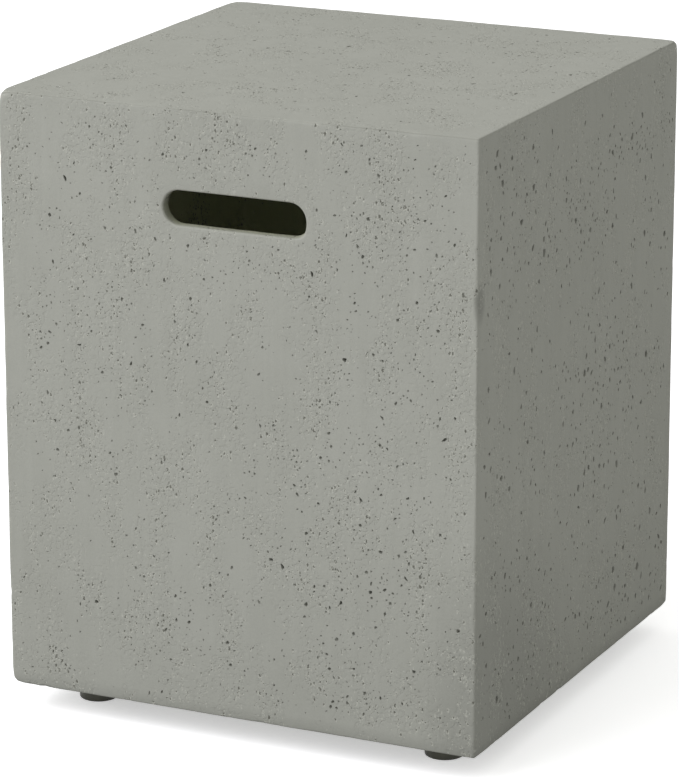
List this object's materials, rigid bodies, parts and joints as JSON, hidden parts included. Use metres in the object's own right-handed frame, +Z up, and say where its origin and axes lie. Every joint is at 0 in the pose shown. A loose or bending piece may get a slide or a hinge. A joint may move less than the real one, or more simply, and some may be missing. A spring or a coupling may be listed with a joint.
{
  "type": "propane tank cover table",
  "caption": "Square cast-concrete side table, hollow and open underneath to stand over a gas bottle, with an obround handle slot front and back and screw-in levelling feet.",
  "frame": {"origin": "on the floor, under the middle of the table", "axes": "+Z up; +X to the right and -Y towards the viewer, square to the front wall whose handle slot the picture shows"},
  "size_m": [0.4064, 0.4064, 0.508],
  "materials": {
    "cast_concrete": "matte",
    "bonded_block": "matte",
    "insert_brass": "satin",
    "plated_steel": "satin",
    "pad_plastic": "satin"
  },
  "bodies": {
    "table": {"cast_shell": "cast_concrete", "corner_block_front_left": "bonded_block", "threaded_insert_front_left": "insert_brass", "jam_nut_front_left": "plated_steel", "corner_block_front_right": "bonded_block", "threaded_insert_front_right": "insert_brass", "jam_nut_front_right": "plated_steel", "corner_block_rear_left": "bonded_block", "threaded_insert_rear_left": "insert_brass", "jam_nut_rear_left": "plated_steel", "corner_block_rear_right": "bonded_block", "threaded_insert_rear_right": "insert_brass", "jam_nut_rear_right": "plated_steel"},
    "pad_front_left": {"foot_pad_front_left": "pad_plastic"},
    "stud_front_left": {"foot_stud_front_left": "plated_steel"},
    "pad_front_right": {"foot_pad_front_right": "pad_plastic"},
    "stud_front_right": {"foot_stud_front_right": "plated_steel"},
    "pad_rear_left": {"foot_pad_rear_left": "pad_plastic"},
    "stud_rear_left": {"foot_stud_rear_left": "plated_steel"},
    "pad_rear_right": {"foot_pad_rear_right": "pad_plastic"},
    "stud_rear_right": {"foot_stud_rear_right": "plated_steel"}
  },
  "joints": [
    {"name": "front_left_foot_drop", "type": "slide", "parent": "table", "child": "pad_front_left", "axis": [0, 0, -1], "range_m": [0, 0.01]},
    {"name": "front_left_stud_turn", "type": "hinge", "parent": "pad_front_left", "child": "stud_front_left", "pos_m": [-0.1537, -0.1482, 0.0155], "axis": [0, 0, -1], "range_deg": [0, 2880]},
    {"name": "front_right_foot_drop", "type": "slide", "parent": "table", "child": "pad_front_right", "axis": [0, 0, -1], "range_m": [0, 0.01]},
    {"name": "front_right_stud_turn", "type": "hinge", "parent": "pad_front_right", "child": "stud_front_right", "pos_m": [0.1537, -0.1482, 0.0155], "axis": [0, 0, -1], "range_deg": [0, 2880]},
    {"name": "rear_left_foot_drop", "type": "slide", "parent": "table", "child": "pad_rear_left", "axis": [0, 0, -1], "range_m": [0, 0.01]},
    {"name": "rear_left_stud_turn", "type": "hinge", "parent": "pad_rear_left", "child": "stud_rear_left", "pos_m": [-0.1537, 0.1482, 0.0155], "axis": [0, 0, -1], "range_deg": [0, 2880]},
    {"name": "rear_right_foot_drop", "type": "slide", "parent": "table", "child": "pad_rear_right", "axis": [0, 0, -1], "range_m": [0, 0.01]},
    {"name": "rear_right_stud_turn", "type": "hinge", "parent": "pad_rear_right", "child": "stud_rear_right", "pos_m": [0.1537, 0.1482, 0.0155], "axis": [0, 0, -1], "range_deg": [0, 2880]}
  ],
  "couplings": [
    {"joint": "front_left_stud_turn", "follows": "front_left_foot_drop", "rad_per_m": 5026.5},
    {"joint": "front_right_stud_turn", "follows": "front_right_foot_drop", "rad_per_m": 5026.5},
    {"joint": "rear_left_stud_turn", "follows": "rear_left_foot_drop", "rad_per_m": 5026.5},
    {"joint": "rear_right_stud_turn", "follows": "rear_right_foot_drop", "rad_per_m": 5026.5}
  ]
}
